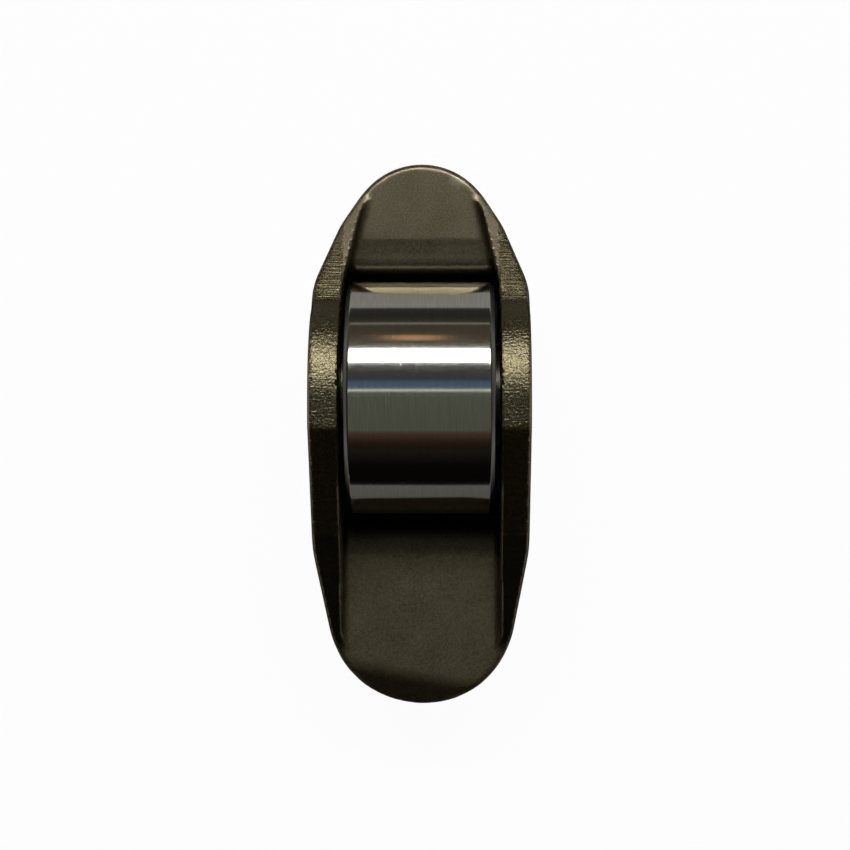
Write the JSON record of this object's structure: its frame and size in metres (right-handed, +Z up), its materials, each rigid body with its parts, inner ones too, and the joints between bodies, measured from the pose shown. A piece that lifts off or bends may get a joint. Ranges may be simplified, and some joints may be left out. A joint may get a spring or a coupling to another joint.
{
  "type": "roller rocker arm",
  "caption": "Pressed-steel roller finger follower: narrow valve tongue, cam roller on needles between two cheeks, and a round pivot end with a ball socket underneath.",
  "frame": {"origin": "the middle of the cam roller's axis, half way between the cheeks", "axes": "+X from the pivot end to the valve end, +Y along the roller's axis, +Z up towards the cam"},
  "size_m": [0.0492, 0.0192, 0.021],
  "materials": {
    "pressed_steel": "case-hardened pressed sheet steel, dark olive brown, fine grained, with sheared edges",
    "ground_steel": "through-hardened bearing steel, ground and lapped bright, with fine hoop lines",
    "pin_steel": "hardened pin steel, ground, with staked ends",
    "needle_steel": "bearing steel, polished"
  },
  "bodies": {
    "arm": {"arm_body": "pressed_steel", "axle_pin": "pin_steel"},
    "roller": {"roller_ring": "ground_steel"},
    "needle_complement": {"needle_01": "needle_steel", "needle_02": "needle_steel", "needle_03": "needle_steel", "needle_04": "needle_steel", "needle_05": "needle_steel", "needle_06": "needle_steel", "needle_07": "needle_steel", "needle_08": "needle_steel", "needle_09": "needle_steel", "needle_10": "needle_steel", "needle_11": "needle_steel", "needle_12": "needle_steel", "needle_13": "needle_steel", "needle_14": "needle_steel", "needle_15": "needle_steel", "needle_16": "needle_steel", "needle_17": "needle_steel", "needle_18": "needle_steel"}
  },
  "joints": [
    {"name": "roller_spin", "type": "hinge", "parent": "arm", "child": "roller", "pos_m": [0, 0, 0], "axis": [0, 1, 0], "continuous": true},
    {"name": "needle_orbit", "type": "hinge", "parent": "arm", "child": "needle_complement", "pos_m": [0, 0, 0], "axis": [0, 1, 0], "continuous": true}
  ],
  "couplings": [
    {"joint": "needle_orbit", "follows": "roller_spin", "ratio": 0.58472}
  ]
}
